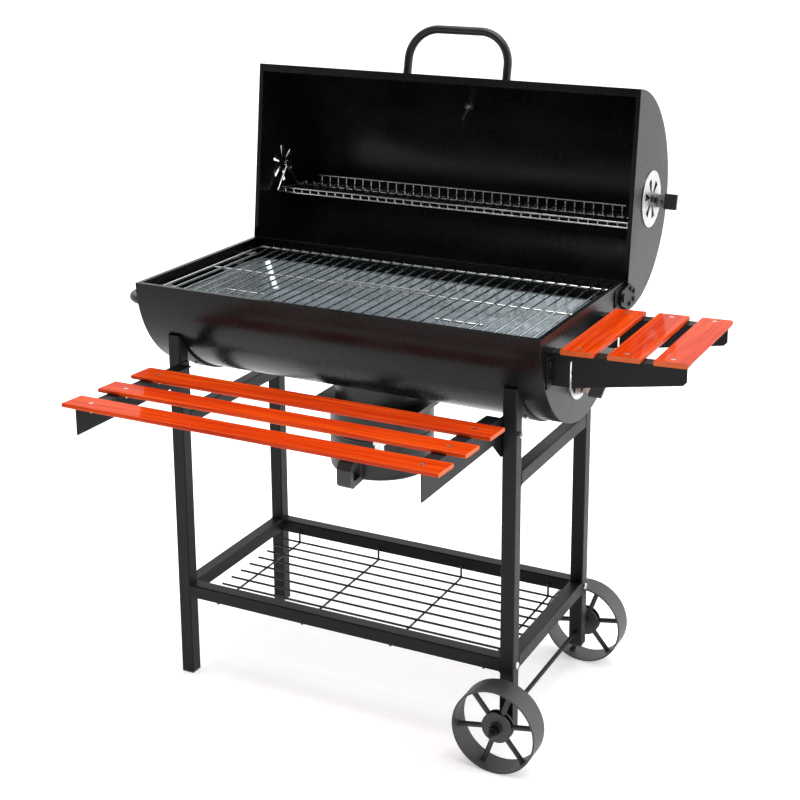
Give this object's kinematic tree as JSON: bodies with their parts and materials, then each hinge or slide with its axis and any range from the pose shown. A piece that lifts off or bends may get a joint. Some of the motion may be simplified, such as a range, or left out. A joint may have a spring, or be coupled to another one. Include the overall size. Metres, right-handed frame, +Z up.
{
  "type": "barrel charcoal grill",
  "caption": "Barrel charcoal grill with a hinged lid, wire cooking grate, warming rack, slatted front and side shelves, and an ash can, on a tube stand with wheels.",
  "frame": {"origin": "middle of the overall footprint, on the ground", "axes": "+Z up; -Y towards the cook, the side of the long front shelf; +X along the barrel towards the side shelf and the wheels"},
  "size_m": [1.0955, 0.8828, 1.1736],
  "materials": {
    "barrel_paint": "satin black heat-proof paint",
    "frame_paint": "satin black powder coat",
    "wheel_paint": "satin black",
    "can_paint": "satin black",
    "zinc": "zinc plated",
    "wire_chrome": "chrome plated wire",
    "wire_black": "satin black wire",
    "pan_steel": "galvanised sheet",
    "handle_tube": "satin black tube",
    "slat_wood": "stained and varnished",
    "black_plastic": "moulded, matte",
    "nameplate_metal": "blank plate, satin",
    "gauge_steel": "dial case, satin"
  },
  "bodies": {
    "base": {"bowl_shell": "barrel_paint", "bowl_end_left": "barrel_paint", "bowl_end_right": "barrel_paint", "bowl_hinges": "frame_paint", "hinge_pins": "frame_paint", "leg_plugs": "black_plastic", "low_rail_front": "frame_paint", "low_rail_rear": "frame_paint", "low_rail_left": "frame_paint", "low_rail_right": "frame_paint", "high_rail_left": "frame_paint", "high_rail_right": "frame_paint", "saddle_left": "frame_paint", "saddle_right": "frame_paint", "shelf_hangers": "wire_black", "shelf_wires": "wire_black", "frame_bolts": "zinc", "axle": "frame_paint", "axle_fittings": "frame_paint", "front_bracket_left": "frame_paint", "front_bracket_right": "frame_paint", "front_slat_back": "slat_wood", "front_slat_middle": "slat_wood", "front_slat_front": "slat_wood", "side_bracket_front": "frame_paint", "side_bracket_rear": "frame_paint", "side_slat_inner": "slat_wood", "side_slat_middle": "slat_wood", "side_slat_outer": "slat_wood", "shelf_screws": "zinc", "cooking_grate": "wire_chrome", "charcoal_pan": "pan_steel", "inner_supports": "zinc", "transport_handle": "handle_tube", "ash_duct": "can_paint", "ash_latches": "zinc", "leg_front_left": "frame_paint", "leg_rear_left": "frame_paint", "leg_front_right": "frame_paint", "leg_rear_right": "frame_paint"},
    "lid": {"lid_shell": "barrel_paint", "lid_end_left": "barrel_paint", "lid_end_right": "barrel_paint", "lid_handle": "handle_tube", "lid_hinges": "frame_paint", "lid_bolts": "frame_paint", "nameplate": "nameplate_metal", "thermometer": "gauge_steel", "rack_pins": "frame_paint"},
    "rack": {"warming_rack": "wire_chrome"},
    "lid_damper_left": {"lid_vent_left": "zinc", "lid_vent_grip_left": "black_plastic"},
    "lid_damper_right": {"lid_vent_right": "zinc", "lid_vent_grip_right": "black_plastic"},
    "bowl_damper": {"bowl_vent": "zinc", "bowl_vent_grip": "black_plastic"},
    "front_wheel": {"wheel_front": "wheel_paint"},
    "rear_wheel": {"wheel_rear": "wheel_paint"},
    "ash_can": {"ash_cup": "can_paint", "ash_cup_handle": "black_plastic"}
  },
  "joints": [
    {"name": "lid_hinge", "type": "hinge", "parent": "base", "child": "lid", "pos_m": [-0.05956, 0.20115, 0.73], "axis": [1, 0, 0], "range_deg": [0, 96.5]},
    {"name": "rack_swing", "type": "hinge", "parent": "lid", "child": "rack", "pos_m": [-0.05956, 0.34195, 0.88103], "axis": [1, 0, 0], "range_deg": [-96.5, 0]},
    {"name": "lid_damper_left_turn", "type": "hinge", "parent": "lid", "child": "lid_damper_left", "pos_m": [-0.45056, 0.34195, 0.88103], "axis": [1, 0, 0], "range_deg": [-15, 15]},
    {"name": "lid_damper_right_turn", "type": "hinge", "parent": "lid", "child": "lid_damper_right", "pos_m": [0.33144, 0.34195, 0.88103], "axis": [1, 0, 0], "range_deg": [-15, 15]},
    {"name": "bowl_damper_turn", "type": "hinge", "parent": "base", "child": "bowl_damper", "pos_m": [0.32544, 0.01115, 0.656], "axis": [1, 0, 0], "range_deg": [-15, 15]},
    {"name": "front_wheel_spin", "type": "hinge", "parent": "base", "child": "front_wheel", "pos_m": [0.26494, -0.17485, 0.075], "axis": [0, 1, 0], "continuous": true},
    {"name": "rear_wheel_spin", "type": "hinge", "parent": "base", "child": "rear_wheel", "pos_m": [0.26494, 0.23915, 0.075], "axis": [0, 1, 0], "continuous": true},
    {"name": "ash_can_drop", "type": "slide", "parent": "base", "child": "ash_can", "axis": [0, 0, -1], "range_m": [0, 0.15]}
  ],
  "couplings": [
    {"joint": "rack_swing", "follows": "lid_hinge", "ratio": -1}
  ]
}
